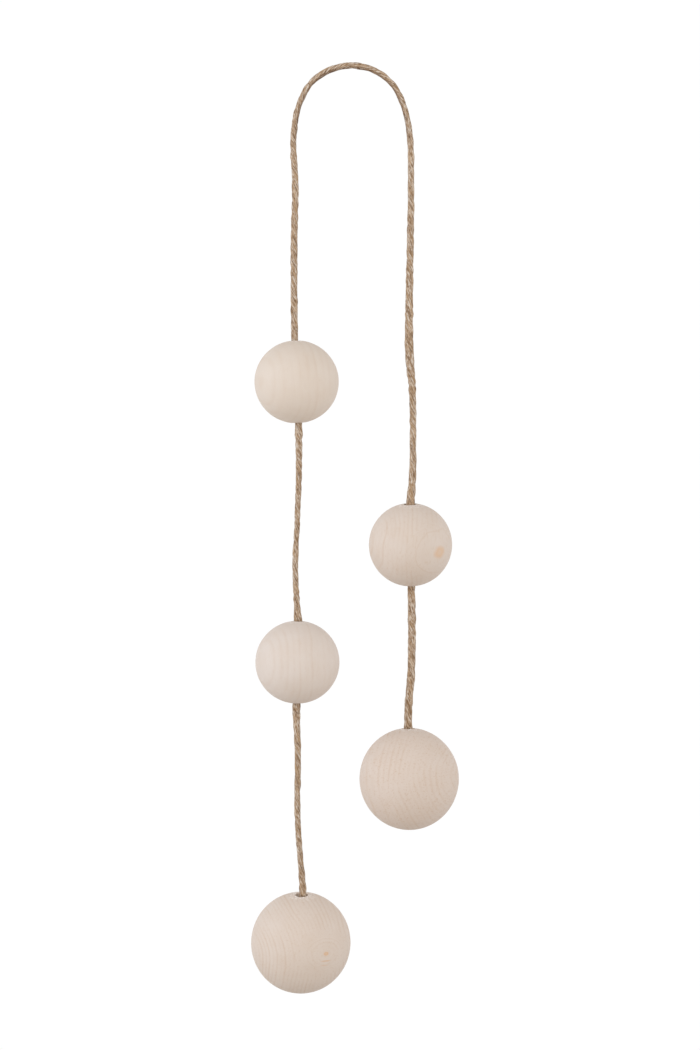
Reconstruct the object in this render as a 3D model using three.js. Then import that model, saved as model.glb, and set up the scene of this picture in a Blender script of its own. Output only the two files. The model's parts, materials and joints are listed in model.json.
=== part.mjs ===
// A wooden ball ornament: five turned wooden balls on one twisted cord that hangs from its loop.
//
// Millimetres, +Z up. The ornament hangs in the XZ plane and faces -Y. The origin is inside the top
// of the loop, on the cord's underside, where a peg or hook would carry it.

import * as THREE from "three";

// The balls. x, y and z are a ball's centre. Turned balls are a little out of round: wide is across the
// hole and tall is along it. lean tips the hole's top towards the front, and roll turns it clockwise
// seen from the front, both in degrees. A blind ball's hole stops inside it, round the cord's end.
const BALLS = [
  { name: "ball_left_top", x: -33.5, y: 0, z: -189.4, wide: 51, tall: 50.1, lean: 2, roll: -2.4 },
  { name: "ball_left_middle", x: -33, y: 0, z: -359, wide: 50.9, tall: 50.1, lean: 0, roll: 1 },
  { name: "ball_left_end", x: -31, y: 3, z: -529.1, wide: 60.3, tall: 61.1, lean: 11, roll: 1, blind: true },
  { name: "ball_right_middle", x: 35.4, y: 0, z: -287.9, wide: 50.4, tall: 50.4, lean: 10, roll: -1 },
  { name: "ball_right_end", x: 34.6, y: 0, z: -429.6, wide: 60.1, tall: 61.5, lean: 0, roll: -1, blind: true },
];
const AROUND = 32;
const ROWS = 18;

// The drilled holes. The mouth's edge is rounded, and the hole narrows to the waist that grips the cord.
const HOLE_MOUTH = 7.4;
const EDGE_ROUND = 0.4;
const WAIST = 5.6;
const TAPER = 14;
const BLIND_DEPTH = 25;

// The cord's route, from its end in the left end ball over the loop to its end in the right end
// ball. thick is its width there: plant-fibre cord is uneven, and frays out a little at the holes.
const ROUTE = [
  { x: -30.9, y: 1.9, z: -523, thick: 4.2 },
  { x: -30.6, y: -0.5, z: -510.8, thick: 4.2 },
  { x: -29.7, y: -2.6, z: -499.2, thick: 4.5 },
  { x: -30.3, y: -2.8, z: -487, thick: 3.8 },
  { x: -31.8, y: -0.8, z: -471.5, thick: 3.5 },
  { x: -33.1, y: 0, z: -445, thick: 3.7 },
  { x: -32.7, y: 0, z: -420, thick: 3.6 },
  { x: -33.6, y: 0, z: -384, thick: 4.5 },
  { x: -32.7, y: 0, z: -334.2, thick: 4.8 },
  { x: -33.7, y: 0.2, z: -318.5, thick: 3.5 },
  { x: -34.3, y: 0.4, z: -300, thick: 3.6 },
  { x: -33.2, y: 0.6, z: -275, thick: 3.3 },
  { x: -32.2, y: 0.8, z: -246, thick: 3.6 },
  { x: -32.4, y: 0.9, z: -214.4, thick: 4.5 },
  { x: -34.6, y: -0.9, z: -164.4, thick: 4.2 },
  { x: -35, y: 0, z: -105, thick: 4.1 },
  { x: -34.3, y: 0, z: -70, thick: 3.9 },
  { x: -35.4, y: 0, z: -43, thick: 3.7 },
  { x: -32.6, y: 0, z: -23.6, thick: 3.6 },
  { x: -25, y: 0, z: -8.8, thick: 3.6 },
  { x: -13.2, y: 0, z: -0.5, thick: 3.9 },
  { x: 0, y: 0, z: 2, thick: 3.8 },
  { x: 13.2, y: 0, z: -0.8, thick: 3.6 },
  { x: 25, y: 0, z: -9.9, thick: 3.5 },
  { x: 32.2, y: 0, z: -25.4, thick: 3.5 },
  { x: 35.1, y: 0, z: -42, thick: 3.7 },
  { x: 35.7, y: 0, z: -75, thick: 3.9 },
  { x: 34.5, y: 0, z: -155, thick: 4.9 },
  { x: 35, y: 0, z: -177, thick: 5.3 },
  { x: 36.4, y: 0, z: -191.5, thick: 4.3 },
  { x: 36.9, y: -1.6, z: -222, thick: 3.8 },
  { x: 36.4, y: -4.2, z: -249, thick: 4.3 },
  { x: 35.2, y: -4.3, z: -263.3, thick: 5.6 },
  { x: 35.2, y: -2.1, z: -276, thick: 4.6 },
  { x: 35.6, y: 2.1, z: -299.8, thick: 4.4 },
  { x: 36.3, y: 4.6, z: -332, thick: 4.7 },
  { x: 36, y: 1.7, z: -362, thick: 4.8 },
  { x: 34, y: 0.1, z: -389, thick: 4.8 },
  { x: 34.1, y: 0, z: -399.5, thick: 5.2 },
  { x: 34.5, y: 0, z: -423.3, thick: 4.2 },
];

// The cord's twist: three plies, laid to the left. One ply goes once round in a turn, and the cord is
// laid tighter on its thin left leg than on its right one. Each ply shows a flat crest and a crease.
const TURN_LEFT = 23;
const TURN_RIGHT = 29;
const LEG = 35; // a leg's distance from the loop's middle
const STEPS_PER_TURN = 10;
const PLIES = 3;
const PLY_SHAPE = [
  { degrees: -24, reach: 1 },
  { degrees: 24, reach: 1 },
  { degrees: 60, reach: 0.8 },
];
const CREST_TO_WIDTH = 0.53; // a crest's distance from the cord's middle, for each unit of its width
const GRIPPED = 4.3; // the cord's width in a waist

const paleWood = new THREE.MeshStandardMaterial({ color: "#dccdbf", roughness: 0.62, metalness: 0 });
const cordFibre = new THREE.MeshStandardMaterial({ color: "#b79c7d", roughness: 0.88, metalness: 0 });

const radians = THREE.MathUtils.degToRad;
const DEPTH = new THREE.Vector3(0, 1, 0);

const centre = (ball) => new THREE.Vector3(ball.x, ball.y, ball.z);

// A ball's outline in its own frame, from the lower pole or hole up round the outside and back down
// the hole, for turning on a lathe.
function ballOutline({ wide, tall, blind }) {
  const rimLatitude = Math.acos((HOLE_MOUTH + 2 * EDGE_ROUND) / wide);
  const rimHeight = (tall / 2) * Math.sin(rimLatitude);
  const edgeHeight = rimHeight - EDGE_ROUND;
  const waistHeight = rimHeight - TAPER;
  const floorHeight = tall / 2 - BLIND_DEPTH;
  const lowest = blind ? -Math.PI / 2 : -rimLatitude;

  const outline = blind ? [new THREE.Vector2(0, -tall / 2)] : [];
  for (let row = outline.length; row <= ROWS; row += 1) {
    const latitude = THREE.MathUtils.lerp(lowest, rimLatitude, row / ROWS);
    outline.push(new THREE.Vector2((wide / 2) * Math.cos(latitude), (tall / 2) * Math.sin(latitude)));
  }
  outline.push(new THREE.Vector2(HOLE_MOUTH / 2, edgeHeight));
  outline.push(new THREE.Vector2(WAIST / 2, waistHeight));
  if (blind) {
    outline.push(new THREE.Vector2(WAIST / 2, floorHeight));
    outline.push(new THREE.Vector2(0, floorHeight));
  } else {
    outline.push(new THREE.Vector2(WAIST / 2, -waistHeight));
    outline.push(new THREE.Vector2(HOLE_MOUTH / 2, -edgeHeight));
    outline.push(outline[0].clone());
  }
  return outline;
}

function turnedBall(ball) {
  const shape = new THREE.LatheGeometry(ballOutline(ball), AROUND);
  shape.rotateX(Math.PI / 2);
  const mesh = new THREE.Mesh(shape, paleWood);
  mesh.name = ball.name;
  mesh.position.copy(centre(ball));
  mesh.rotation.set(radians(ball.lean), radians(ball.roll), 0);
  return mesh;
}

// The cord's width at a point of its route: a ball squeezes it to the gripped width inside its hole.
function widthAt(point, routeWidth) {
  let width = routeWidth;
  for (const ball of BALLS) {
    const inside = ball.tall / 2 - point.distanceTo(centre(ball));
    const squeeze = THREE.MathUtils.clamp(inside / TAPER, 0, 1);
    width = Math.min(width, THREE.MathUtils.lerp(width, GRIPPED, squeeze));
  }
  return width;
}

// The cord's cross-sections, one for each step of its length: where it lies, which way its two
// section axes point, how far it has twisted and how wide it is.
function cordRings() {
  const curve = new THREE.CatmullRomCurve3(ROUTE.map(({ x, y, z }) => new THREE.Vector3(x, y, z)));
  curve.arcLengthDivisions = 4000;
  const meanTurn = (TURN_LEFT + TURN_RIGHT) / 2;
  const steps = Math.round((curve.getLength() / meanTurn) * STEPS_PER_TURN);
  const stepLength = curve.getLength() / steps;

  const rings = [];
  let twist = 0;
  for (let step = 0; step <= steps; step += 1) {
    const along = step / steps;
    const point = curve.getPointAt(along);
    const forward = curve.getTangentAt(along);
    const side = new THREE.Vector3().crossVectors(DEPTH, forward).normalize();
    const back = new THREE.Vector3().crossVectors(forward, side);
    const place = curve.getUtoTmapping(along) * (ROUTE.length - 1);
    const row = Math.min(Math.floor(place), ROUTE.length - 2);
    const routeWidth = THREE.MathUtils.lerp(ROUTE[row].thick, ROUTE[row + 1].thick, place - row);
    rings.push({ point, side, back, twist, width: widthAt(point, routeWidth) });

    const acrossLoop = THREE.MathUtils.clamp((point.x + LEG) / (2 * LEG), 0, 1);
    const turn = THREE.MathUtils.lerp(TURN_LEFT, TURN_RIGHT, acrossLoop);
    twist -= (2 * Math.PI * stepLength) / turn;
  }
  return rings;
}

// A corner of a cross-section. The corners go round ply by ply, and the cord's middle has no reach.
function cordCorner(ring, corner, isMiddle) {
  const shape = PLY_SHAPE[corner % PLY_SHAPE.length];
  const ply = Math.floor(corner / PLY_SHAPE.length);
  const angle = ring.twist + (2 * Math.PI * ply) / PLIES + radians(shape.degrees);
  const reach = isMiddle ? 0 : ring.width * CREST_TO_WIDTH * shape.reach;
  return ring.point
    .clone()
    .addScaledVector(ring.side, reach * Math.cos(angle))
    .addScaledVector(ring.back, reach * Math.sin(angle));
}

// The cord is a straight rod whose rings are laid along the route and twisted on the way.
function twistedCord() {
  const rings = cordRings();
  const steps = rings.length - 1;
  const corners = PLIES * PLY_SHAPE.length;
  const rod = new THREE.CylinderGeometry(1, 1, steps, corners, steps);
  const spots = rod.getAttribute("position");
  for (let index = 0; index < spots.count; index += 1) {
    const across = spots.getX(index);
    const ahead = spots.getZ(index);
    const turned = Math.round((Math.atan2(across, ahead) / (2 * Math.PI)) * corners);
    const ring = rings[Math.round(spots.getY(index) + steps / 2)];
    const isMiddle = Math.hypot(across, ahead) < 0.5;
    const spot = cordCorner(ring, (turned + corners) % corners, isMiddle);
    spots.setXYZ(index, spot.x, spot.y, spot.z);
  }
  rod.computeVertexNormals();
  const mesh = new THREE.Mesh(rod, cordFibre);
  mesh.name = "cord";
  return mesh;
}

const ornament = new THREE.Group();
for (const ball of BALLS) {
  ornament.add(turnedBall(ball));
}
ornament.add(twistedCord());

export default ornament;
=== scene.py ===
import json
import math
from collections import namedtuple
from functools import partial

import bmesh
import bpy
import numpy as np
from mathutils import Matrix, Vector

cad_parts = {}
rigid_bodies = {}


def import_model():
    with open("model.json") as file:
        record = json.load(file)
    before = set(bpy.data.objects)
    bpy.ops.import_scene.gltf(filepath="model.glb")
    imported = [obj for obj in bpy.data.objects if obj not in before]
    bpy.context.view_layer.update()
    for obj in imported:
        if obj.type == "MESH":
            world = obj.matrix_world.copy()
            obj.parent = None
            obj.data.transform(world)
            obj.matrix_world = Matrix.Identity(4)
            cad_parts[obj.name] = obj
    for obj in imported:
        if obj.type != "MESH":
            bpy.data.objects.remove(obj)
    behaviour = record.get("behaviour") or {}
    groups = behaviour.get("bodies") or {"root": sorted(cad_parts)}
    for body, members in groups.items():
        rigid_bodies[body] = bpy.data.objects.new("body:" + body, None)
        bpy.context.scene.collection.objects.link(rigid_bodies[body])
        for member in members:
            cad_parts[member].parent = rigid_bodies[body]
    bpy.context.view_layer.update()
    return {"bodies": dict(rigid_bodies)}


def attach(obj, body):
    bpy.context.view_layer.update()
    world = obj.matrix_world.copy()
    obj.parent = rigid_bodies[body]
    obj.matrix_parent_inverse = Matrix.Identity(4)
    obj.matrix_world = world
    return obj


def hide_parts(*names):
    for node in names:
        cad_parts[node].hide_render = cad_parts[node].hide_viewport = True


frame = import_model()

bl_info = {
    "name": "Wooden Ball Ornament",
    "version": (1, 0, 0),
    "blender": (4, 5, 0),
    "location": "3D View > Sidebar > Ornament",
    "description": "Dresses an ornament of turned wooden balls on one twisted jute cord",
    "category": "Add Mesh",
}

# Metres and +Z up, as in the frame. The ornament hangs in the XZ plane and faces -Y, and the origin
# is inside the top of its loop.
MM = 0.001
ROOT_BODY = next(iter(frame["bodies"]))

# The balls, in millimetres and degrees. wide is across the hole and tall along it, lean tips the
# hole's top to the front and roll turns it clockwise seen from the front. A blind ball holds a cord end.
Ball = namedtuple("Ball", "node x y z wide tall lean roll blind")
BALLS = [
    Ball("ball_left_top", -33.5, 0, -189.4, 51, 50.1, 2, -2.4, False),
    Ball("ball_left_middle", -33, 0, -359, 50.9, 50.1, 0, 1, False),
    Ball("ball_left_end", -31, 3, -529.1, 60.3, 61.1, 11, 1, True),
    Ball("ball_right_middle", 35.4, 0, -287.9, 50.4, 50.4, 10, -1, False),
    Ball("ball_right_end", 34.6, 0, -429.6, 60.1, 61.5, 0, -1, True),
]

# The grain of each ball, in millimetres from the ball's centre. The growth rings lie round the pith, a
# line through one point in one direction. Balls turned from different places in a plank differ. ring
# is the width of a growth ring, waver how far the rings stray, dark how strong their lines are, flecks
# how strong the vessels' short dashes are, and tint the colour of the wood between the lines.
Grain = namedtuple("Grain", "pith along ring waver dark flecks tint")
GRAINS = {
    "ball_left_top": Grain((-62.5, -39, 0), (-0.05, 0.02, 1), 4.85, 0.6, 0.15, 0.08, "#D5C6B7"),
    "ball_left_middle": Grain((-64, -37, 0), (-0.01, 0.02, 1), 3.8, 0.6, 0.155, 0.1, "#D5C7BB"),
    "ball_left_end": Grain((-54, 0, -12), (0, 0.986, -0.165), 2.3, 0.7, 0.34, 0.24, "#D5C5B7"),
    "ball_right_middle": Grain((-73.5, -14, 6), (0.04, 0.1, 1), 2.9, 1.2, 0.25, 0.24, "#D2C2B4"),
    "ball_right_end": Grain((36, 0, 2), (0, 0.995, -0.1), 3.1, 0.8, 0.26, 0.46, "#D3C2B4"),
}

# Knots and small stains, in millimetres from the ball's centre. x, y and z are where the middle shows on
# the surface, and wide and tall are the stained spot's size. Out to reach, rings close round the knot:
# ring is their width, and lines their strength next to the ball's other rings. stain is the spot's
# strength, and collar how far out one darker ring lies. A reach or collar of 0 means none.
Knot = namedtuple("Knot", "x y z wide tall reach ring lines stain collar")
KNOTS = {
    "ball_right_middle": [Knot(17.1, -17.9, -4.6, 6.6, 5.8, 19, 3.6, 0.15, 0.62, 13.6)],
    "ball_left_end": [
        Knot(15.7, -25.9, -2.5, 2.7, 2.0, 15, 2.4, 0.55, 0.8, 0),
        Knot(15.4, -25.1, -6.9, 5.4, 0.8, 0, 1, 1, 0.65, 0),
        Knot(14.6, -24.6, -9.6, 4.6, 0.8, 0, 1, 1, 0.35, 0),
    ],
}

# The cord's route, in metres: x, y, z and the cord's width there, from its end in the left end ball
# over the loop to its end in the right end ball. Plant-fibre cord is uneven and frays out a little at
# the holes.
ROUTE = [
    (-0.0309, 0.0019, -0.5230, 0.0042),
    (-0.0306, -0.0005, -0.5108, 0.0042),
    (-0.0297, -0.0026, -0.4992, 0.0045),
    (-0.0303, -0.0028, -0.4870, 0.0038),
    (-0.0318, -0.0008, -0.4715, 0.0035),
    (-0.0331, 0, -0.4450, 0.0037),
    (-0.0327, 0, -0.4200, 0.0036),
    (-0.0336, 0, -0.3840, 0.0045),
    (-0.0327, 0, -0.3342, 0.0048),
    (-0.0337, 0.0002, -0.3185, 0.0035),
    (-0.0343, 0.0004, -0.3000, 0.0036),
    (-0.0332, 0.0006, -0.2750, 0.0033),
    (-0.0322, 0.0008, -0.2460, 0.0036),
    (-0.0324, 0.0009, -0.2144, 0.0045),
    (-0.0346, -0.0009, -0.1644, 0.0042),
    (-0.0350, 0, -0.1050, 0.0041),
    (-0.0343, 0, -0.0700, 0.0039),
    (-0.0354, 0, -0.0430, 0.0037),
    (-0.0326, 0, -0.0236, 0.0036),
    (-0.0250, 0, -0.0088, 0.0036),
    (-0.0132, 0, -0.0005, 0.0039),
    (0, 0, 0.0020, 0.0038),
    (0.0132, 0, -0.0008, 0.0036),
    (0.0250, 0, -0.0099, 0.0035),
    (0.0322, 0, -0.0254, 0.0035),
    (0.0351, 0, -0.0420, 0.0037),
    (0.0357, 0, -0.0750, 0.0039),
    (0.0345, 0, -0.1550, 0.0049),
    (0.0350, 0, -0.1770, 0.0053),
    (0.0364, 0, -0.1915, 0.0043),
    (0.0369, -0.0016, -0.2220, 0.0038),
    (0.0364, -0.0042, -0.2490, 0.0043),
    (0.0352, -0.0043, -0.2633, 0.0056),
    (0.0352, -0.0021, -0.2760, 0.0046),
    (0.0356, 0.0021, -0.2998, 0.0044),
    (0.0363, 0.0046, -0.3320, 0.0047),
    (0.0360, 0.0017, -0.3620, 0.0048),
    (0.0340, 0.0001, -0.3890, 0.0048),
    (0.0341, 0, -0.3995, 0.0052),
    (0.0345, 0, -0.4233, 0.0042),
]

# The cord's section. Three plies are pressed flat against each other, so it is nearly round. The crest,
# oval, swell and fullness are shares of its radius, and the swell spreads over so many radians.
PLIES = 3
CORNERS = 63
CREST = 0.02
OVAL = 0.05
SWELL_SPREAD = 0.6
FULLNESS = 1.01
GRIPPED = 4.3  # the cord's width in the waist of a hole, in millimetres

# The furrows between the plies and between a ply's loose strands. Depths are shares of the cord's radius
# and spread is in radians round it. The crease colour is painted into a furrow as shade: a furrow as deep
# as black_at has the full painted shade, and a shallower one has a share of it that is its share of that
# depth, raised to the power.
Furrow = namedtuple("Furrow", "depth shallowest deepest spread black_at power")
PLY_FURROW = Furrow(0.13, 0.02, 0.3, 0.17, 0.28, 1.5)
STRAND_FURROW = Furrow(-0.01, 0, 0.11, 0.11, 0.2, 1)
STRAND_DRIFT = 160  # millimetres in which a strand may stray once round the cord
STREAK_SHIFT = 37  # millimetres from the streaks of one ply to those of the next

# How uneven the cord is: the length of each wave along it, in millimetres, and its strength. That is a
# share of the turn or the radius, or radians for lean and the places, or millimetres for sway and fan.
Wave = namedtuple("Wave", "length amount")
WAVES = {
    "turn": Wave(60, 0.15),
    "lean": Wave(40, 2.0),
    "oval": Wave(30, 0.04),
    "ply_place": Wave(22, 0.16),
    "ply_depth": Wave(12, 0.14),
    "swell": Wave(17, 0.035),
    "strand_depth": Wave(9, 0.09),
    "strand_place": Wave(15, 0.2),
    "width": Wave(11, 0.025),
    "sway_side": Wave(19, 0.06),
    "sway_back": Wave(19, 0.09),
    "fan": Wave(45, 0.8),
}

# The loop, in millimetres: a leg's distance from its middle, and the height of its middle. Painted shade
# darkens the cord's inner side from the height BEND_FROM upwards, over BEND_RISE. FACING_FROM and
# FACING_RISE say how far round the cord that side goes, and INNER_SHADE how dark that painted shade gets.
LEG = 35
LOOP_MIDDLE = -35
BEND_FROM = -48
BEND_RISE = 22
FACING_FROM = 0.15
FACING_RISE = 0.55
INNER_SHADE = 1.2

# The middle of the camera's view, in metres.
MIDDLE = Vector((-0.0012, 0, -0.276))

# The soft lamps: where each one stands from that middle, in metres, its size, its power
# in watts and the colour of its light. The light from the sides is a little cooler, as by a window.
Lamp = namedtuple("Lamp", "name x y z size power tint")
LAMPS = [
    Lamp("left_lamp", -1.7, -0.6, 0.5, 1.2, 11.2, "#D2E5FF"),
    Lamp("right_lamp", 1.7, -0.6, 0.5, 1.2, 5.2, "#D2E5FF"),
    Lamp("front_lamp", -0.3, -2.2, 1.1, 1.4, 8.2, "#FFFFFF"),
]

# Socket numbers of a Mix node: its two colours and their result, and its two numbers.
COLOUR_A, COLOUR_B, MIXED = 6, 7, 2
NUMBER_A, NUMBER_B = 2, 3


def paint(code):
    """A colour from its sRGB hex code, in the linear values that Blender works with."""
    parts = [int(code[i : i + 2], 16) / 255 for i in (1, 3, 5)]
    linear = [c / 12.92 if c <= 0.04045 else ((c + 0.055) / 1.055) ** 2.4 for c in parts]
    return (*linear, 1.0)


def add_node(tree, kind, inputs=(), result=0, **settings):
    """Adds one shader node with its settings. The inputs are plain values or other nodes' results, in the
    node's own order, or by name or number in a dict. Returns the result of that name or number."""
    made = tree.nodes.new("ShaderNode" + kind)
    for name, value in settings.items():
        setattr(made, name, value)
    named = inputs if isinstance(inputs, dict) else dict(enumerate(inputs))
    for socket, source in named.items():
        if isinstance(source, bpy.types.NodeSocket):
            tree.links.new(source, made.inputs[socket])
        else:
            made.inputs[socket].default_value = source
    return made.outputs[result] if made.outputs else None


def new_material(name):
    """An empty material, and the function that adds a node to it."""
    material = bpy.data.materials.new(name)
    material.use_nodes = True
    material.node_tree.nodes.clear()
    return material, partial(add_node, material.node_tree)


class BallSettings(bpy.types.PropertyGroup):
    """Sizes and colours that all the balls share."""

    hole_mouth: bpy.props.FloatProperty(
        name="Hole mouth",
        description="Width of a drilled hole at the surface",
        default=7.4 * MM,
        unit="LENGTH",
    )
    edge_round: bpy.props.FloatProperty(
        name="Edge round",
        description="Radius that sanding leaves on a hole's edge",
        default=0.4 * MM,
        unit="LENGTH",
    )
    waist: bpy.props.FloatProperty(
        name="Waist",
        description="Width of a hole where it grips the cord",
        default=5.6 * MM,
        unit="LENGTH",
    )
    taper: bpy.props.FloatProperty(
        name="Taper",
        description="Depth at which a hole reaches its waist",
        default=14 * MM,
        unit="LENGTH",
    )
    blind_depth: bpy.props.FloatProperty(
        name="Blind depth",
        description="Depth of the end balls' holes",
        default=25 * MM,
        unit="LENGTH",
    )
    unevenness: bpy.props.FloatProperty(
        name="Unevenness",
        description="How far the turned surface strays from true",
        default=0.1 * MM,
        unit="LENGTH",
    )
    late_wood: bpy.props.StringProperty(
        name="Late wood",
        description="Colour of the dark line that ends a growth ring",
        default="#BF9C78",
    )
    knot_wood: bpy.props.StringProperty(
        name="Knot",
        description="Colour of a small knot",
        default="#D3A77C",
    )
    torn_wood: bpy.props.StringProperty(
        name="Torn wood",
        description="Colour of the torn fibres round a top hole",
        default="#F2EAE2",
    )
    lifted_fibres: bpy.props.FloatProperty(
        name="Lifted fibres",
        description="How much the torn fibres round a top hole show",
        default=0.9,
        subtype="FACTOR",
    )
    roughness: bpy.props.FloatProperty(
        name="Roughness",
        description="Bare sanded wood scatters light widely",
        default=0.62,
        subtype="FACTOR",
    )


class CordSettings(bpy.types.PropertyGroup):
    """Twist, fineness and colours of the cord."""

    width: bpy.props.FloatProperty(
        name="Width",
        description="The cord's nominal width",
        default=4.2 * MM,
        unit="LENGTH",
    )
    turn_left: bpy.props.FloatProperty(
        name="Turn, left leg",
        description="Length in which a ply goes once round",
        default=23 * MM,
        unit="LENGTH",
    )
    turn_right: bpy.props.FloatProperty(
        name="Turn, right leg",
        description="Length in which a ply goes once round",
        default=29 * MM,
        unit="LENGTH",
    )
    step: bpy.props.FloatProperty(
        name="Step",
        description="Distance between two rings of the mesh",
        default=0.8 * MM,
        unit="LENGTH",
    )
    fibre_slip: bpy.props.FloatProperty(
        name="Fibre slip",
        description="How much less the fibres turn than the plies, as a slope",
        default=0.14,
    )
    strands: bpy.props.IntProperty(
        name="Strands",
        description="Loose strands that part within the plies",
        default=9,
    )
    seed: bpy.props.IntProperty(
        name="Seed",
        description="Which of many uneven cords is laid",
        default=11,
    )
    light_fibre: bpy.props.StringProperty(
        name="Light fibre",
        description="Dry top fibres",
        default="#D2C4B3",
    )
    mid_fibre: bpy.props.StringProperty(
        name="Fibre",
        description="Most of the fibres",
        default="#A88C71",
    )
    dark_fibre: bpy.props.StringProperty(
        name="Dark fibre",
        description="Bark-stained fibres",
        default="#755737",
    )
    golden_fibre: bpy.props.StringProperty(
        name="Golden fibre",
        description="Less weathered fibres",
        default="#AF8C63",
    )
    # Painted shade in the creases and in the loop's inner bend takes this colour, and so do the short
    # dark specks of bark and fibre.
    crease_shade: bpy.props.StringProperty(
        name="Crease",
        description="Dirt and shade in a crease",
        default="#5D3E23",
    )


class StageSettings(bpy.types.PropertyGroup):
    """The white studio round the ornament."""

    lens: bpy.props.FloatProperty(
        name="Lens",
        description="Focal length on a 36 mm frame",
        default=85.7,
        min=10,
    )
    camera_away: bpy.props.FloatProperty(
        name="Camera distance",
        description="From the lens to the ornament's plane",
        default=1.5125,
        unit="LENGTH",
    )
    floor_drop: bpy.props.FloatProperty(
        name="Floor",
        description="How far under the loop the floor lies",
        default=0.9,
        unit="LENGTH",
    )
    floor_radius: bpy.props.FloatProperty(
        name="Floor radius",
        description="Radius of the round floor",
        default=1.4,
        unit="LENGTH",
    )
    paper: bpy.props.StringProperty(
        name="Paper",
        description="Colour of the floor's paper",
        default="#D8D3CD",
    )
    paper_tooth: bpy.props.StringProperty(
        name="Paper tooth",
        description="Colour of the paper's raised fibres",
        default="#E2DEDA",
    )
    lamps: bpy.props.FloatProperty(
        name="Lamps",
        description="Strength of all the soft lamps together",
        default=1.0,
    )
    walls: bpy.props.FloatProperty(
        name="Walls",
        description="Brightness of the white walls",
        default=1.01,
    )
    ceiling: bpy.props.FloatProperty(
        name="Ceiling",
        description="Brightness of the ceiling",
        default=0.665,
    )


# The cord


def smooth_route(rows, samples):
    """A centripetal Catmull-Rom curve through the route's points, with the width between its rows."""
    points = np.array([row[:3] for row in rows])
    widths = np.array([row[3] for row in rows])
    padded = np.vstack([2 * points[0] - points[1], points, 2 * points[-1] - points[-2]])
    gaps = np.linalg.norm(np.diff(padded, axis=0), axis=1) ** 0.5
    t = np.linspace(0, 1, samples, endpoint=False)[:, None]
    places = []
    thick = []
    for i in range(1, len(points)):
        before, start, end, after = padded[i - 1 : i + 3]
        gap_in, gap, gap_out = gaps[i - 1 : i + 2]
        leave = (start - before) / gap_in - (end - before) / (gap_in + gap) + (end - start) / gap
        arrive = (end - start) / gap - (after - start) / (gap + gap_out) + (after - end) / gap_out
        leave = leave * gap
        arrive = arrive * gap
        curve = start + leave * t
        curve = curve + (3 * (end - start) - 2 * leave - arrive) * t**2
        curve = curve + (2 * (start - end) + leave + arrive) * t**3
        places.append(curve)
        thick.append(widths[i - 1] + (widths[i] - widths[i - 1]) * t[:, 0])
    return np.vstack([*places, points[-1:]]), np.append(np.concatenate(thick), widths[-1])


def even_steps(points, widths, step):
    """The same curve with rings at even distances: places, widths and distances from its start."""
    along = np.append(0, np.cumsum(np.linalg.norm(np.diff(points, axis=0), axis=1)))
    rings = np.linspace(0, along[-1], round(along[-1] / step) + 1)
    places = np.stack([np.interp(rings, along, points[:, axis]) for axis in range(3)], axis=1)
    return places, np.interp(rings, along, widths), rings


def ripple(rng, along, wave, unit=1):
    """A smooth uneven wave along the cord, with the same shape in each run."""
    height = np.zeros_like(along)
    for factor in (0.55, 0.8, 1.15, 1.7):
        height += np.sin(2 * np.pi * along / (wave.length * MM * factor) + rng.uniform(0, 2 * np.pi))
    return height * (wave.amount * unit) / 2


def squeezed(points, widths, ball_settings):
    """The cord's width with each ball squeezing it to fit the waist of its hole."""
    for ball in BALLS:
        centre = np.array([ball.x, ball.y, ball.z]) * MM
        inside = ball.tall / 2 * MM - np.linalg.norm(points - centre, axis=1)
        squeeze = np.clip(inside / ball_settings.taper, 0, 1)
        widths = np.minimum(widths, widths + (GRIPPED * MM - widths) * squeeze)
    return widths


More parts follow.
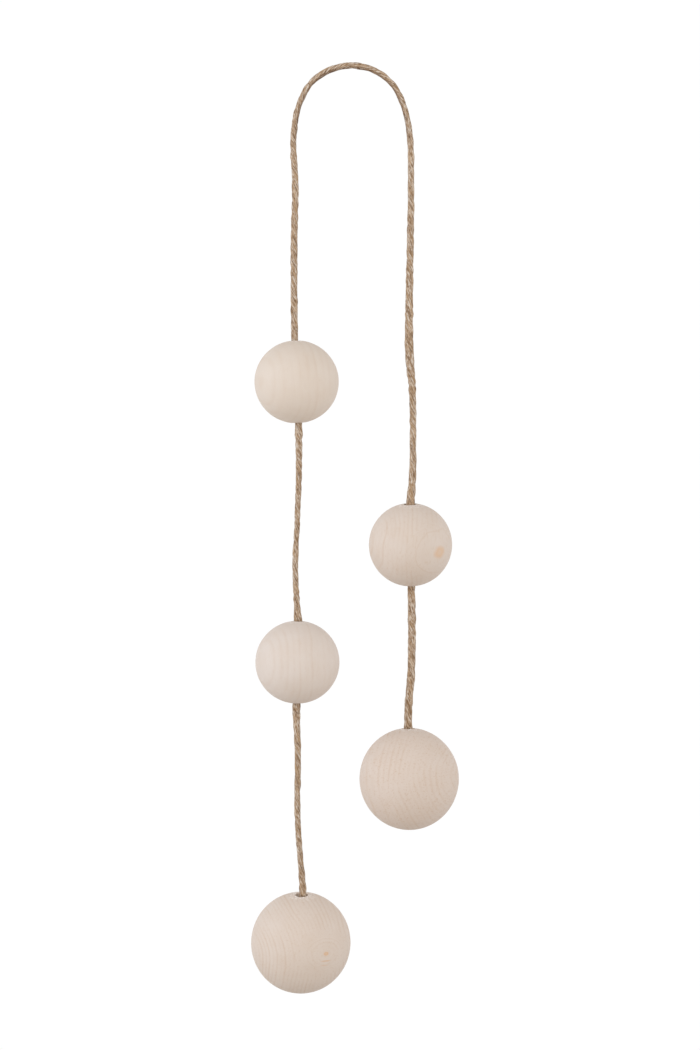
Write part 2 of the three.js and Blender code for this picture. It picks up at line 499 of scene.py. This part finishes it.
def jute_cord(settings):
    """Jute: retted stem fibres, softly spun into three plies and laid up to the left. The eye sees a
    matt, greyish straw-brown cord, streaked along its fibres, with short dark creases between strands."""
    material, node = new_material("laid_jute")
    fibre = node("UVMap", uv_map="fibres")

    def streaks(length, width, detail):
        """Noise drawn out along the fibres, for streaks of a real length and width in millimetres."""
        stretch = (1 / (length * MM), 1 / (width * MM), 1)
        drawn = node("Mapping", {"Vector": fibre, "Scale": stretch})
        return node("TexNoise", {"Vector": drawn, "Scale": 1.0, "Detail": detail, "Roughness": 0.55})

    # A jute fibre is under 0.1 mm wide. These are drawn much coarser, so that they show.
    single_fibres = streaks(length=2.8, width=0.62, detail=2)
    bundles = streaks(length=5, width=0.85, detail=1)
    patches = streaks(length=15, width=3, detail=1)
    tone = node("Math", (single_fibres, 0.5), operation="MULTIPLY")
    for layer, share in ((bundles, 0.32), (patches, 0.18)):
        part = node("Math", (layer, share), operation="MULTIPLY")
        tone = node("Math", (tone, part), operation="ADD")
    streaked = node("ValToRGB", {"Fac": tone})
    stops = streaked.node.color_ramp.elements
    stops[0].position, stops[0].color = 0.39, paint(settings.dark_fibre)
    stops[1].position, stops[1].color = 0.6, paint(settings.light_fibre)
    stops.new(0.49).color = paint(settings.mid_fibre)

    # Some fibres are more golden than the rest.
    golden = node("MapRange", (streaks(length=18, width=1.4, detail=1), 0.45, 0.65, 0, 0.5))
    colours = {"Factor": golden, COLOUR_A: streaked, COLOUR_B: paint(settings.golden_fibre)}
    warmed = node("Mix", colours, MIXED, data_type="RGBA")

    # The crease mask is painted shade in the furrows and in the loop's inner bend, broken into lines;
    # short dark specks of bark and dark fibre between the fibres join it. Both take the crease colour.
    broken_lines = streaks(length=2.6, width=0.8, detail=1)
    breaks = node("MapRange", (broken_lines, 0.35, 0.6, 1, 0.35))
    crease = node("Attribute", result="Fac", attribute_name="crease")
    crease = node("Math", (crease, breaks), operation="MULTIPLY")
    specks = node("MapRange", (broken_lines, 0.58, 0.68, 0, 0.75))
    crease = node("Math", (crease, specks), operation="MAXIMUM")
    colours = {"Factor": crease, COLOUR_A: warmed, COLOUR_B: paint(settings.crease_shade)}
    colour = node("Mix", colours, MIXED, data_type="RGBA")

    height = node("Math", (single_fibres, bundles), operation="ADD")
    bump = node("Bump", {"Height": height, "Strength": 0.7, "Distance": 0.15 * MM})
    look = {"Base Color": colour, "Normal": bump, "Roughness": 0.85, "Sheen Weight": 0.1}
    node("OutputMaterial", {"Surface": node("BsdfPrincipled", look)})
    return material


def section_axes(points):
    """The directions to the cord's side and to its back, at each of its rings."""
    forward = np.gradient(points, axis=0)
    forward /= np.linalg.norm(forward, axis=1, keepdims=True)
    side = np.cross((0.0, 1.0, 0.0), forward)
    side /= np.linalg.norm(side, axis=1, keepdims=True)
    return side, np.cross(forward, side)


def laid_twist(rng, points, along, settings):
    """How far the plies have gone round at each ring. The left leg is laid tighter than the right one."""
    leg = LEG * MM
    across = np.clip((points[:, 0] + leg) / (2 * leg), 0, 1)
    turn = settings.turn_left + (settings.turn_right - settings.turn_left) * across
    turn = turn * (1 + ripple(rng, along, WAVES["turn"]))
    return -np.append(0, np.cumsum(2 * np.pi * settings.step / turn[1:]))


def notch(angles, place, spread):
    """How strongly a furrow at a place marks each point of the sections round it, from 0 to 1."""
    off = (angles[None, :] - place[:, None] + np.pi) % (2 * np.pi) - np.pi
    return np.exp(-((off / spread) ** 2))


def cut_furrow(furrow, angles, place, stray):
    """How deep a furrow cuts each point of the sections, and how much painted shade it puts on them."""
    depth = np.clip(furrow.depth + stray, furrow.shallowest, furrow.deepest)[:, None]
    marked = notch(angles, place, furrow.spread)
    return depth * marked, (depth / furrow.black_at) ** furrow.power * marked


def uneven_sections(rng, along, strands):
    """The cord's sections, each from one crease round to the same crease again: the angle of each corner,
    its reach as a share of the radius, and how much painted shade lies on it."""
    angles = np.pi / 3 + 2 * np.pi * np.arange(CORNERS + 1) / CORNERS
    reach = 1 + CREST * np.cos(PLIES * angles)[None, :] * np.ones((len(along), 1))
    leaning = ripple(rng, along, WAVES["lean"])
    oval = OVAL + ripple(rng, along, WAVES["oval"])
    reach += oval[:, None] * np.cos(2 * (angles[None, :] - leaning[:, None]))
    crease = np.zeros_like(reach)
    for ply in range(PLIES):
        place = np.pi / 3 + 2 * np.pi * ply / PLIES + ripple(rng, along, WAVES["ply_place"])
        stray = ripple(rng, along, WAVES["ply_depth"])
        cut, shade = cut_furrow(PLY_FURROW, angles, place, stray)
        reach -= cut
        crease += shade
        swell = ripple(rng, along, WAVES["swell"])
        reach += swell[:, None] * notch(angles, place + np.pi / 3, SWELL_SPREAD)
    for strand in range(strands):
        start = 2 * np.pi * strand / strands
        drift = rng.uniform(-1, 1) * 2 * np.pi * along / (STRAND_DRIFT * MM)
        stray = ripple(rng, along, WAVES["strand_depth"])
        place = start + drift + ripple(rng, along, WAVES["strand_place"])
        cut, shade = cut_furrow(STRAND_FURROW, angles, place, stray)
        reach -= cut
        crease += shade
    return angles, reach, crease


def bend_shade(points, side, back, heading):
    """Painted shade on the cord's inner side where it bends over the top of the loop."""
    inward = np.array((0, 0, LOOP_MIDDLE * MM)) - points
    inward /= np.linalg.norm(inward, axis=1, keepdims=True)
    facing_side = (side * inward).sum(1)[:, None] * np.cos(heading)
    facing_back = (back * inward).sum(1)[:, None] * np.sin(heading)
    bend = np.clip((points[:, 2] - BEND_FROM * MM) / (BEND_RISE * MM), 0, 1)
    inner = np.clip((facing_side + facing_back - FACING_FROM) / FACING_RISE, 0, 1)
    return INNER_SHADE * bend[:, None] * inner


def closed_rod(name, rings):
    """A mesh over rings of points, smooth along its length and closed by a flat face at each end."""
    steps, corners = rings.shape[:2]
    start = np.arange(steps - 1)[:, None] * corners
    here = start + np.arange(corners)[None, :]
    following = start + (np.arange(corners)[None, :] + 1) % corners
    quads = np.stack([here, following, following + corners, here + corners], axis=2)
    faces = quads.reshape(-1, 4).tolist()
    faces.append(list(range(corners))[::-1])
    faces.append([(steps - 1) * corners + corner for corner in range(corners)])
    mesh = bpy.data.meshes.new(name)
    mesh.from_pydata(rings.reshape(-1, 3).tolist(), [], faces)
    mesh.polygons.foreach_set("use_smooth", [True] * (len(faces) - 2) + [False, False])
    return mesh


def add_fibre_map(mesh, along, girth):
    """Maps the cord, in metres along it and across its fibres. Each ply has streaks of its own."""
    uv = np.stack([np.broadcast_to(along[:, None], girth.shape), girth], axis=2)
    loops = np.stack([uv[:-1, :-1], uv[:-1, 1:], uv[1:, 1:], uv[1:, :-1]], axis=2)
    ply_of_face = np.arange(CORNERS) // (CORNERS // PLIES)
    loops[..., 1] += STREAK_SHIFT * MM * ply_of_face[None, :, None]
    uv_map = mesh.uv_layers.new(name="fibres")
    uv_map.data.foreach_set("uv", np.concatenate([loops.reshape(-1), np.zeros(4 * CORNERS)]))


class ORNAMENT_OT_cord(bpy.types.Operator):
    """Lay the twisted cord along its route, as one closed mesh of three plies"""

    bl_idname = "ornament.cord"
    bl_label = "Twisted Cord"

    def execute(self, context):
        settings = context.scene.ornament_cord
        rng = np.random.default_rng(settings.seed)
        points, widths = smooth_route(ROUTE, samples=60)
        points, widths, along = even_steps(points, widths, settings.step)
        widths = squeezed(points, widths, context.scene.ornament_balls)

        side, back = section_axes(points)
        twist = laid_twist(rng, points, along, settings)
        angles, reach, crease = uneven_sections(rng, along, settings.strands)
        heading = twist[:, None] + angles[None, :]
        # Painted shade on the loop's inner side joins the crease values.
        crease += bend_shade(points, side, back, heading)

        radius = widths / 2 * (FULLNESS + ripple(rng, along, WAVES["width"]))
        sway_side = ripple(rng, along, WAVES["sway_side"], unit=MM)
        sway_back = ripple(rng, along, WAVES["sway_back"], unit=MM)
        aside = radius[:, None] * reach * np.cos(heading) + sway_side[:, None]
        behind = radius[:, None] * reach * np.sin(heading) + sway_back[:, None]
        rings = points[:, None] + side[:, None] * aside[..., None] + back[:, None] * behind[..., None]
        mesh = closed_rod("twisted_cord", rings[:, :CORNERS])

        # The fibres follow the plies loosely.
        fan = ripple(rng, along, WAVES["fan"], unit=MM)
        slip = settings.fibre_slip * along
        girth = widths.mean() / 2 * angles[None, :] - slip[:, None] + fan[:, None]
        add_fibre_map(mesh, along, girth)
        # The crease attribute carries the painted shade of the furrows and of the loop's inner bend.
        shading = mesh.attributes.new("crease", "FLOAT", "POINT")
        shading.data.foreach_set("value", np.clip(crease[:, :CORNERS], 0, 1).reshape(-1))
        mesh.update()

        cord = bpy.data.objects.new("twisted_cord", mesh)
        context.scene.collection.objects.link(cord)
        mesh.materials.append(jute_cord(settings))
        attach(cord, ROOT_BODY)
        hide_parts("cord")
        return {"FINISHED"}


# The balls


def tilted(ball):
    """A ball's turn: how far its hole tips to the front and to the side."""
    tip = Matrix.Rotation(math.radians(ball.lean), 4, "X")
    return tip @ Matrix.Rotation(math.radians(ball.roll), 4, "Y")


def growth_rings(node, log, grain):
    """The distance from the pith, counted in growth rings. The rings stray slowly from true circles, and
    waver finely."""
    slow_stray = 7 * grain.waver * MM
    fine_stray = 0.35 * grain.waver * MM
    sway = node("TexNoise", {"Vector": log, "Scale": 1 / (26 * MM), "Detail": 1}, "Color")
    sway = node("VectorMath", (sway, (0.5, 0.5, 0.5)), operation="SUBTRACT")
    sway = node("VectorMath", {0: sway, "Scale": slow_stray}, operation="SCALE")
    grown = node("VectorMath", (log, sway), operation="ADD")
    flat = node("VectorMath", (grown, (1, 1, 0)), operation="MULTIPLY")
    from_pith = node("VectorMath", (flat,), "Value", operation="LENGTH")
    waver = node("TexNoise", {"Vector": log, "Scale": 1 / (5 * MM), "Detail": 1})
    waver = node("Math", (waver, fine_stray), operation="MULTIPLY")
    from_pith = node("Math", (from_pith, waver), operation="ADD")
    return node("Math", (from_pith, grain.ring * MM), operation="DIVIDE")


def grow_knots(node, place, centre, knots, rings):
    """Closes the rings round the knots. Returns the rings, how strong they stay there, each knot's
    stain, which is darkest a little off its heart, and the darker rings further out."""
    calm = 1
    stains = []
    collars = []
    for knot in knots:
        middle = centre + Vector((knot.x, knot.y, knot.z)) * MM
        tall = knot.tall * MM
        shape = (knot.tall / knot.wide, knot.tall / knot.wide, 1)
        away = node("VectorMath", (place, middle), operation="SUBTRACT")
        away = node("VectorMath", (away, shape), operation="MULTIPLY")
        away = node("VectorMath", (away,), "Value", operation="LENGTH")
        bent = node("TexNoise", {"Vector": place, "Scale": 1 / (4 * MM), "Detail": 1})
        bent = node("Math", (bent, 0.5), operation="SUBTRACT")
        bent = node("Math", (bent, 0.3 * tall), operation="MULTIPLY")
        away = node("Math", (away, bent), operation="ADD")
        if knot.collar:
            collar = knot.collar * MM
            shifted = node("Mapping", {"Vector": place, "Location": (0.1, 0.1, 0.1)})
            stray = node("TexNoise", {"Vector": shifted, "Scale": 1 / (8 * MM), "Detail": 1})
            stray = node("Math", (stray, 0.4 * collar), operation="MULTIPLY")
            off_collar = node("Math", (away, stray), operation="ADD")
            off_collar = node("Math", (off_collar, 1.2 * collar), operation="SUBTRACT")
            off_collar = node("Math", (off_collar,), operation="ABSOLUTE")
            line = (off_collar, 0, 0.7 * MM, 0.16, 0)
            collars.append(node("MapRange", line, interpolation_type="SMOOTHSTEP"))
        if knot.reach:
            reach = knot.reach * MM
            closed = node("Math", (away, knot.ring * MM), operation="DIVIDE")
            near = (away, 0.6 * reach, reach, 1, 0)
            near = node("MapRange", near, interpolation_type="SMOOTHERSTEP")
            rings = node("Mix", {"Factor": near, NUMBER_A: rings, NUMBER_B: closed})
            calmer = node("MapRange", (near, 0, 1, 1, knot.lines))
            calm = node("Math", (calm, calmer), operation="MULTIPLY")
        rim = (away, 0.3 * tall, 0.85 * tall, knot.stain, 0)
        rim = node("MapRange", rim, interpolation_type="SMOOTHSTEP")
        heart = (away, 0.1 * tall, 0.45 * tall, 0.72, 1)
        heart = node("MapRange", heart, interpolation_type="SMOOTHSTEP")
        stains.append(node("Math", (rim, heart), operation="MULTIPLY"))
    return rings, calm, stains, collars


def late_lines(node, log, rings):
    """How dark the wood is within its rings. A ring darkens slowly and ends in a thin late-wood line, and
    no two rings are as strong."""
    line = node("ValToRGB", {"Fac": node("Math", (rings,), operation="FRACT")})
    stops = line.node.color_ramp.elements
    stops[0].position, stops[0].color = 0.0, (0.45, 0.45, 0.45, 1)
    stops[1].position, stops[1].color = 1.0, (0.45, 0.45, 0.45, 1)
    for position, level in ((0.16, 0.0), (0.55, 0.12), (0.85, 1.0)):
        stops.new(position).color = (level, level, level, 1)
    which = node("Math", (rings,), operation="FLOOR")
    strength = node("TexWhiteNoise", {"W": which}, noise_dimensions="1D")
    strength = node("MapRange", (strength, 0, 1, 0.25, 1))
    fading = node("TexNoise", {"Vector": log, "Scale": 1 / (15 * MM), "Detail": 1})
    fading = node("MapRange", (fading, 0.35, 0.6, 0.25, 1))
    late = node("Math", (line, strength), operation="MULTIPLY")
    return node("Math", (late, fading), operation="MULTIPLY")


def turned_wood(ball, settings):
    """Birch, turned on a lathe and fine sanded, with no finish. The eye sees a pale, matt, faintly pink
    surface with thin growth-ring lines of low contrast, here and there a small orange knot."""
    grain = GRAINS[ball.node]
    centre = Vector((ball.x, ball.y, ball.z)) * MM
    material, node = new_material("turned_birch_" + ball.node.removeprefix("ball_"))
    place = node("TexCoord", result="Object")
    turn = Vector(grain.along).to_track_quat("Z", "Y").to_euler()
    pith = centre + Vector(grain.pith) * MM
    log = node("Mapping", {"Vector": place, "Location": pith, "Rotation": turn}, vector_type="TEXTURE")

    rings = growth_rings(node, log, grain)
    knots = KNOTS.get(ball.node, [])
    rings, calm, stains, collars = grow_knots(node, place, centre, knots, rings)
    late = late_lines(node, log, rings)
    for factor in (calm, grain.dark):
        late = node("Math", (late, factor), operation="MULTIPLY")

    # Vessels show as short dashes along the grain. Real ones are hair-fine, and these are drawn coarser,
    # so that they show. Broad clouds of slightly darker wood lie under them.
    dash_wide = 0.9 * MM
    dash_long = 5 * MM
    dashes = node("Mapping", {"Vector": log, "Scale": (1 / dash_wide, 1 / dash_wide, 1 / dash_long)})
    dashes = node("TexNoise", {"Vector": dashes, "Scale": 1.0, "Detail": 1})
    dashes = node("MapRange", (dashes, 0.56, 0.8, 0, grain.flecks))
    clouds = node("Mapping", {"Vector": log, "Location": (0.3, 0.3, 0.3)})
    clouds = node("TexNoise", {"Vector": clouds, "Scale": 1 / (13 * MM), "Detail": 2})
    clouds = node("MapRange", (clouds, 0.3, 0.7, 0, 0.1))
    darkness = late
    for layer in (dashes, clouds, *collars):
        darkness = node("Math", (darkness, layer), operation="ADD")
    colours = {"Factor": darkness, COLOUR_A: paint(grain.tint), COLOUR_B: paint(settings.late_wood)}
    colour = node("Mix", colours, MIXED, data_type="RGBA")

    # The drill lifts pale fibres round the top hole, and sanding doesn't take them all.
    hole = centre + tilted(ball) @ Vector((0, 0, ball.tall / 2)) * MM
    off_hole = node("VectorMath", (place, hole), "Value", operation="DISTANCE")
    lifted = (off_hole, 5 * MM, 10 * MM, settings.lifted_fibres, 0)
    lifted = node("MapRange", lifted, interpolation_type="SMOOTHSTEP")
    tufts = node("Mapping", {"Vector": place, "Location": (0.7, 0.7, 0.7)})
    tufts = node("TexNoise", {"Vector": tufts, "Scale": 1 / (1.1 * MM), "Detail": 2})
    tufts = node("MapRange", (tufts, 0.5, 0.62, 0, 1))
    lifted = node("Math", (lifted, tufts), operation="MULTIPLY")
    colours = {"Factor": lifted, COLOUR_A: colour, COLOUR_B: paint(settings.torn_wood)}
    colour = node("Mix", colours, MIXED, data_type="RGBA")
    for stain in stains:
        colours = {"Factor": stain, COLOUR_A: colour, COLOUR_B: paint(settings.knot_wood)}
        colour = node("Mix", colours, MIXED, data_type="RGBA")

    # The late wood stands a trace lower than the rest, and sanding leaves a fine tooth.
    sunk = node("Math", (late, -0.7), operation="MULTIPLY")
    tooth = node("TexNoise", {"Vector": place, "Scale": 1 / (0.35 * MM), "Detail": 2})
    height = node("Math", (sunk, tooth), operation="ADD")
    bump = node("Bump", {"Height": height, "Strength": 0.3, "Distance": 0.04 * MM})
    look = {
        "Base Color": colour,
        "Normal": bump,
        "Roughness": settings.roughness,
        "Specular IOR Level": 0.35,
    }
    node("OutputMaterial", {"Surface": node("BsdfPrincipled", look)})
    return material


def select_vertices(piece, wanted):
    """Selects the vertices in edit mode that pass a test of their place and their state."""
    mesh = bmesh.from_edit_mesh(piece.data)
    bpy.ops.mesh.select_all(action="DESELECT")
    for vertex in mesh.verts:
        vertex.select = wanted(vertex)
    mesh.select_flush(True)
    bmesh.update_edit_mesh(piece.data)


def drill(piece, ball, settings, end):
    """Opens the hole at one end of a ball, 1 for the top and -1 for the bottom: cuts the pole away,
    rounds the edge in three steps and draws the wall down to the waist."""
    half_wide = ball.wide / 2 * MM
    half_tall = ball.tall / 2 * MM
    mouth = settings.hole_mouth / 2
    rim = mouth + settings.edge_round
    rim_height = half_tall * math.sqrt(1 - (rim / half_wide) ** 2)
    cap = rim + 0.3 * MM  # the pole is cut away a little past the rounded edge

    select_vertices(piece, lambda v: v.co.z * end > 0 and v.co.xy.length < cap)
    bpy.ops.mesh.delete(type="VERT")
    select_vertices(piece, lambda v: v.co.z * end > 0 and v.is_boundary)
    edge = next(v.co.copy() for v in bmesh.from_edit_mesh(piece.data).verts if v.select)
    radius = edge.xy.length
    height = abs(edge.z)

    stations = [(rim, rim_height)]
    for degrees_round in (30, 60, 90):
        bend = math.radians(degrees_round)
        inwards = settings.edge_round * math.sin(bend)
        down = settings.edge_round * (1 - math.cos(bend))
        stations.append((rim - inwards, rim_height - down))
    waist = settings.waist / 2
    for share_down in (0.12, 0.3, 0.6, 1):
        wall = mouth + (waist - mouth) * share_down
        stations.append((wall, rim_height - settings.taper * share_down))
    if ball.blind:
        stations.append((waist, half_tall - settings.blind_depth))
    for next_radius, next_height in stations:
        drop = (0, 0, (next_height - height) * end)
        bpy.ops.mesh.extrude_region_move(TRANSFORM_OT_translate={"value": drop})
        shrink = next_radius / radius
        bpy.ops.transform.resize(value=(shrink, shrink, 1), center_override=(0, 0, 0))
        radius = next_radius
        height = next_height
    if ball.blind:
        bpy.ops.mesh.edge_face_add()


class ORNAMENT_OT_balls(bpy.types.Operator):
    """Turn the wooden balls, drill them and put each in its place on the cord"""

    bl_idname = "ornament.balls"
    bl_label = "Turned Balls"

    def execute(self, context):
        settings = context.scene.ornament_balls
        lumps = bpy.data.textures.new("turning_marks", "CLOUDS")
        lumps.noise_scale = 16 * MM
        for ball in BALLS:
            bpy.ops.object.select_all(action="DESELECT")
            radius = ball.wide / 2 * MM
            bpy.ops.mesh.primitive_uv_sphere_add(segments=128, ring_count=80, radius=radius)
            piece = context.active_object
            piece.name = ball.node.replace("ball", "turned_ball")
            bpy.ops.object.mode_set(mode="EDIT")
            bpy.ops.mesh.select_all(action="SELECT")
            bpy.ops.transform.resize(value=(1, 1, ball.tall / ball.wide), center_override=(0, 0, 0))
            drill(piece, ball, settings, 1)
            if not ball.blind:
                drill(piece, ball, settings, -1)
                select_vertices(piece, lambda v: v.is_boundary)
                bpy.ops.mesh.bridge_edge_loops()
            bpy.ops.mesh.select_all(action="SELECT")
            bpy.ops.mesh.normals_make_consistent(inside=False)
            bpy.ops.object.mode_set(mode="OBJECT")

            move = Matrix.Translation(Vector((ball.x, ball.y, ball.z)) * MM)
            piece.matrix_world = move @ tilted(ball)
            bpy.ops.object.transform_apply(location=True, rotation=True, scale=True)

            worn = piece.modifiers.new("turning marks", "DISPLACE")
            worn.texture = lumps
            worn.texture_coords = "LOCAL"
            worn.strength = 2 * settings.unevenness  # half of it goes in and half out
            bpy.ops.object.modifier_apply(modifier=worn.name)
            bpy.ops.object.shade_smooth_by_angle(angle=math.radians(50))
            piece.data.materials.append(turned_wood(ball, settings))
            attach(piece, ROOT_BODY)
            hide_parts(ball.node)
        return {"FINISHED"}


# The studio


def studio_paper(settings):
    """Background paper: plain, pale and matt, with a fine tooth. Towards its edge it turns into the even
    white of the surroundings, so that the eye sees no horizon."""
    material, node = new_material("background_paper")
    place = node("TexCoord", result="Object")
    tooth = node("TexNoise", {"Vector": place, "Scale": 400.0, "Detail": 2})
    colours = {"Factor": tooth, COLOUR_A: paint(settings.paper), COLOUR_B: paint(settings.paper_tooth)}
    paper = node("Mix", colours, MIXED, data_type="RGBA")
    away = node("VectorMath", (place,), "Value", operation="LENGTH")
    fade_from = 0.35 * settings.floor_radius
    fade_to = 0.97 * settings.floor_radius
    edge = node("MapRange", (away, fade_from, fade_to), interpolation_type="SMOOTHSTEP")
    black = (0, 0, 0, 1)
    faded = node("Mix", {"Factor": edge, COLOUR_A: paper, COLOUR_B: black}, MIXED, data_type="RGBA")
    look = {
        "Base Color": faded,
        "Emission Color": (1, 1, 1, 1),
        "Emission Strength": node("Math", (edge, settings.walls), operation="MULTIPLY"),
        "Roughness": 0.9,
        "Specular IOR Level": 0.0,
    }
    node("OutputMaterial", {"Surface": node("BsdfPrincipled", look)})
    return material


def white_room(settings):
    """The surroundings: even white walls that pass into a dimmer ceiling. Their heights are the upward
    part of a direction, which is 0 when level and 1 straight up."""
    wall_top = 0.38
    ceiling_edge = 0.7
    world = bpy.data.worlds.new("studio")
    world.use_nodes = True
    world.node_tree.nodes.clear()
    node = partial(add_node, world.node_tree)
    height = node("SeparateXYZ", (node("TexCoord", result="Generated"),), "Z")
    levels = (height, wall_top, ceiling_edge, settings.walls, settings.ceiling)
    strength = node("MapRange", levels, interpolation_type="SMOOTHSTEP")
    glow = node("Background", {"Color": (1, 1, 1, 1), "Strength": strength})
    node("OutputWorld", {"Surface": glow})
    return world


class ORNAMENT_OT_stage(bpy.types.Operator):
    """Set the camera, the pale floor, the white surroundings, the cool side lamps and the front lamp"""

    bl_idname = "ornament.stage"
    bl_label = "Studio"

    def execute(self, context):
        settings = context.scene.ornament_stage
        camera_data = bpy.data.cameras.new("camera")
        camera_data.lens = settings.lens
        camera_data.sensor_width = 36
        camera = bpy.data.objects.new("camera", camera_data)
        camera.location = MIDDLE - Vector((0, settings.camera_away, 0))
        camera.rotation_euler = (math.radians(90), 0, 0)
        context.scene.collection.objects.link(camera)
        context.scene.camera = camera

        bpy.ops.object.select_all(action="DESELECT")
        bpy.ops.mesh.primitive_circle_add(
            vertices=128,
            radius=settings.floor_radius,
            fill_type="NGON",
            location=(0, 0, -settings.floor_drop),
        )
        floor = context.active_object
        floor.name = "floor"
        floor.data.materials.append(studio_paper(settings))

        for lamp in LAMPS:
            light = bpy.data.lights.new(lamp.name, "AREA")
            light.shape = "DISK"
            light.size = lamp.size
            light.energy = lamp.power * settings.lamps
            light.color = paint(lamp.tint)[:3]
            shone = bpy.data.objects.new(lamp.name, light)
            shone.location = MIDDLE + Vector((lamp.x, lamp.y, lamp.z))
            shone.rotation_euler = (MIDDLE - shone.location).to_track_quat("-Z", "Y").to_euler()
            context.scene.collection.objects.link(shone)

        context.scene.world = white_room(settings)
        context.scene.view_settings.view_transform = "Standard"
        return {"FINISHED"}


class ORNAMENT_PT_panel(bpy.types.Panel):
    """The ornament's pieces and their settings"""

    bl_label = "Wooden Ball Ornament"
    bl_idname = "ORNAMENT_PT_panel"
    bl_space_type = "VIEW_3D"
    bl_region_type = "UI"
    bl_category = "Ornament"

    def draw(self, context):
        groups = (
            (context.scene.ornament_stage, "ornament.stage"),
            (context.scene.ornament_cord, "ornament.cord"),
            (context.scene.ornament_balls, "ornament.balls"),
        )
        for settings, operator in groups:
            box = self.layout.box()
            for name in settings.__annotations__:
                box.prop(settings, name)
            box.operator(operator)


CLASSES = (
    BallSettings,
    CordSettings,
    StageSettings,
    ORNAMENT_OT_stage,
    ORNAMENT_OT_cord,
    ORNAMENT_OT_balls,
    ORNAMENT_PT_panel,
)


def register():
    for kind in CLASSES:
        bpy.utils.register_class(kind)
    bpy.types.Scene.ornament_balls = bpy.props.PointerProperty(type=BallSettings)
    bpy.types.Scene.ornament_cord = bpy.props.PointerProperty(type=CordSettings)
    bpy.types.Scene.ornament_stage = bpy.props.PointerProperty(type=StageSettings)


def unregister():
    del bpy.types.Scene.ornament_stage
    del bpy.types.Scene.ornament_cord
    del bpy.types.Scene.ornament_balls
    for kind in reversed(CLASSES):
        bpy.utils.unregister_class(kind)


def main():
    register()
    bpy.ops.ornament.stage()
    bpy.ops.ornament.cord()
    bpy.ops.ornament.balls()


if __name__ == "__main__":
    main()
